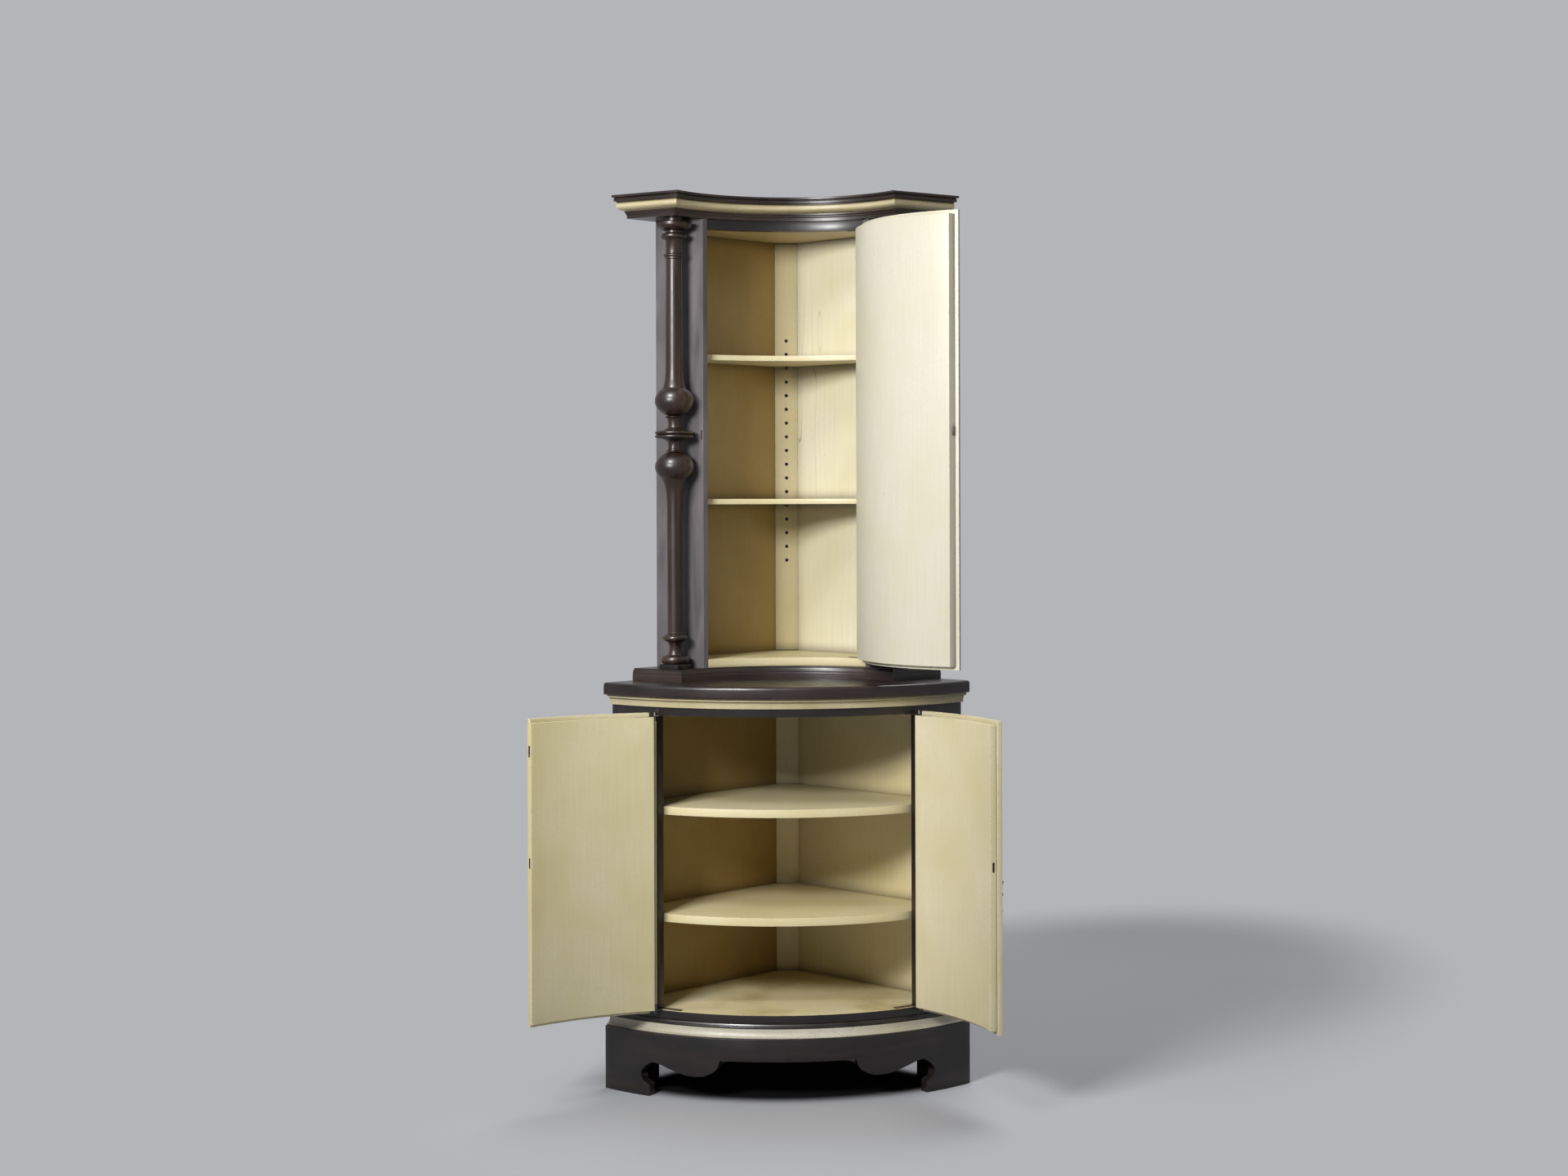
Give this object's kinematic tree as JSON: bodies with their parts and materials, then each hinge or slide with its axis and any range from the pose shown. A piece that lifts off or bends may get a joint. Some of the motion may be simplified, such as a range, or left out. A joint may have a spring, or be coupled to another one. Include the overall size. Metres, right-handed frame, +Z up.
{
  "type": "corner cupboard",
  "caption": "Two-part corner cupboard on a bracket plinth: bowed base with a pair of swinging doors, and a hollow-fronted upper case with one swinging door, turned columns and a cornice.",
  "frame": {"origin": "centre of the underside of the back foot, which stands in the room corner", "axes": "+Z up along the cupboard's height, -Y towards the front, the two room walls run from the back corner at 45 degrees towards -X -Y and +X -Y"},
  "size_m": [0.9908, 0.7321, 1.95],
  "materials": {
    "dark_wood": "dark stained hardwood, satin polish worn at the edges",
    "cream_paint": "aged cream oil paint on wood, finely crazed",
    "dark_iron": "blackened iron",
    "worn_steel": "dull worn steel"
  },
  "bodies": {
    "case": {"plinth_front_board": "dark_wood", "plinth_left_side_board": "dark_wood", "plinth_right_side_board": "dark_wood", "plinth_back_foot": "dark_wood", "plinth_bead_moulding": "dark_wood", "base_bottom_rail": "dark_wood", "base_left_stile": "dark_wood", "base_right_stile": "dark_wood", "base_top_rail": "dark_wood", "base_top_slab": "dark_wood", "upper_base_board": "dark_wood", "upper_left_stile": "dark_wood", "upper_right_stile": "dark_wood", "upper_head_rail": "dark_wood", "left_column": "dark_wood", "right_column": "dark_wood", "cornice_soffit_board": "dark_wood", "cornice_crown_board": "dark_wood", "plinth_cream_moulding": "cream_paint", "base_floor_board": "cream_paint", "base_left_wall_panel": "cream_paint", "base_right_wall_panel": "cream_paint", "base_corner_strip": "cream_paint", "base_lower_shelf": "cream_paint", "base_upper_shelf": "cream_paint", "base_cream_moulding": "cream_paint", "upper_floor_board": "cream_paint", "upper_left_wall_panel": "cream_paint", "upper_right_wall_panel": "cream_paint", "upper_corner_strip": "cream_paint", "upper_ceiling_board": "cream_paint", "upper_top_shelf": "cream_paint", "upper_middle_shelf": "cream_paint", "cornice_cream_moulding": "cream_paint", "lower_left_case_foot_hinge": "worn_steel", "lower_left_case_head_hinge": "worn_steel", "lower_right_case_foot_hinge": "worn_steel", "lower_right_case_head_hinge": "worn_steel", "upper_case_foot_hinge": "worn_steel", "upper_case_head_hinge": "worn_steel"},
    "lower_left_door": {"lower_left_door_panel": "cream_paint", "lower_left_door_leaf": "dark_wood", "lower_left_door_foot_hinge": "worn_steel", "lower_left_door_head_hinge": "worn_steel"},
    "lower_right_door": {"lower_right_door_panel": "cream_paint", "lower_right_door_leaf": "dark_wood", "lower_right_door_foot_hinge": "worn_steel", "lower_right_door_head_hinge": "worn_steel", "lower_lock_case": "worn_steel", "lower_escutcheon": "dark_iron", "pull_staple": "dark_iron"},
    "upper_door": {"upper_door_panel": "cream_paint", "upper_door_leaf": "dark_wood", "upper_door_foot_hinge": "worn_steel", "upper_door_head_hinge": "worn_steel", "upper_lock_case": "worn_steel"},
    "flush_bolt": {"lower_left_flush_bolt": "worn_steel"},
    "lower_lock_bolt": {"lower_lock_bolt": "worn_steel"},
    "upper_lock_bolt": {"upper_lock_bolt": "worn_steel"},
    "pull": {"pull_drop": "dark_iron"}
  },
  "joints": [
    {"name": "lower_left_door_hinge", "type": "hinge", "parent": "case", "child": "lower_left_door", "pos_m": [-0.28527, -0.41203, 0.5], "axis": [0, 0, -1], "range_deg": [-137, 5]},
    {"name": "lower_right_door_hinge", "type": "hinge", "parent": "case", "child": "lower_right_door", "pos_m": [0.28527, -0.41203, 0.5], "axis": [0, 0, 1], "range_deg": [-105, 37]},
    {"name": "upper_door_hinge", "type": "hinge", "parent": "case", "child": "upper_door", "pos_m": [0.17307, -0.30514, 1.4], "axis": [0, 0, 1], "range_deg": [-122.5, 6]},
    {"name": "flush_bolt_slide", "type": "slide", "parent": "lower_left_door", "child": "flush_bolt", "axis": [0, 0, 1], "range_m": [0, 0.012]},
    {"name": "lower_lock_bolt_slide", "type": "slide", "parent": "lower_right_door", "child": "lower_lock_bolt", "axis": [0.2602, -0.9656, 0], "range_m": [0, 0.009]},
    {"name": "upper_lock_bolt_slide", "type": "slide", "parent": "upper_door", "child": "upper_lock_bolt", "axis": [0.9067, -0.4217, 0], "range_m": [0, 0.009]},
    {"name": "pull_swing", "type": "hinge", "parent": "lower_right_door", "child": "pull", "pos_m": [0.44004, -0.63818, 0.4569], "axis": [0.9656, 0.2602, 0], "range_deg": [-60, 60]}
  ]
}
